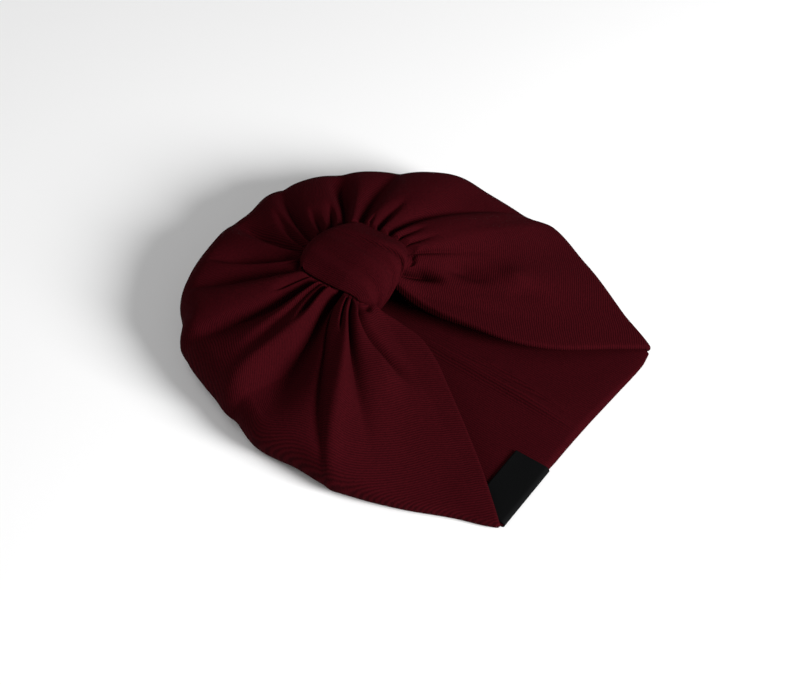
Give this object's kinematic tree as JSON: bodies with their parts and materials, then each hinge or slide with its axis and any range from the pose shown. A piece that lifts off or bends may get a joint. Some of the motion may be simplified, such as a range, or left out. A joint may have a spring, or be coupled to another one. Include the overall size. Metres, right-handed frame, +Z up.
{
  "type": "turban headwrap",
  "caption": "Knitted turban headwrap laid flat: gathered crown and two wings held by a wide wrapped band, straight back rim, blank woven side tab.",
  "frame": {"origin": "on the table, under the middle of the cap between the rim's line and the far edge of the crown", "axes": "+Z up from the table, +Y from the back rim to the far edge of the crown, +X towards the tip without the tab"},
  "size_m": [0.2551, 0.2739, 0.0543],
  "materials": {
    "knit_cloth": "fine rib knit, dark wine red, matt",
    "woven_tab": "fine black woven ribbon, blank"
  },
  "bodies": {
    "root": {"cap": "knit_cloth", "knot_band": "knit_cloth", "side_tab": "woven_tab"}
  },
  "joints": []
}
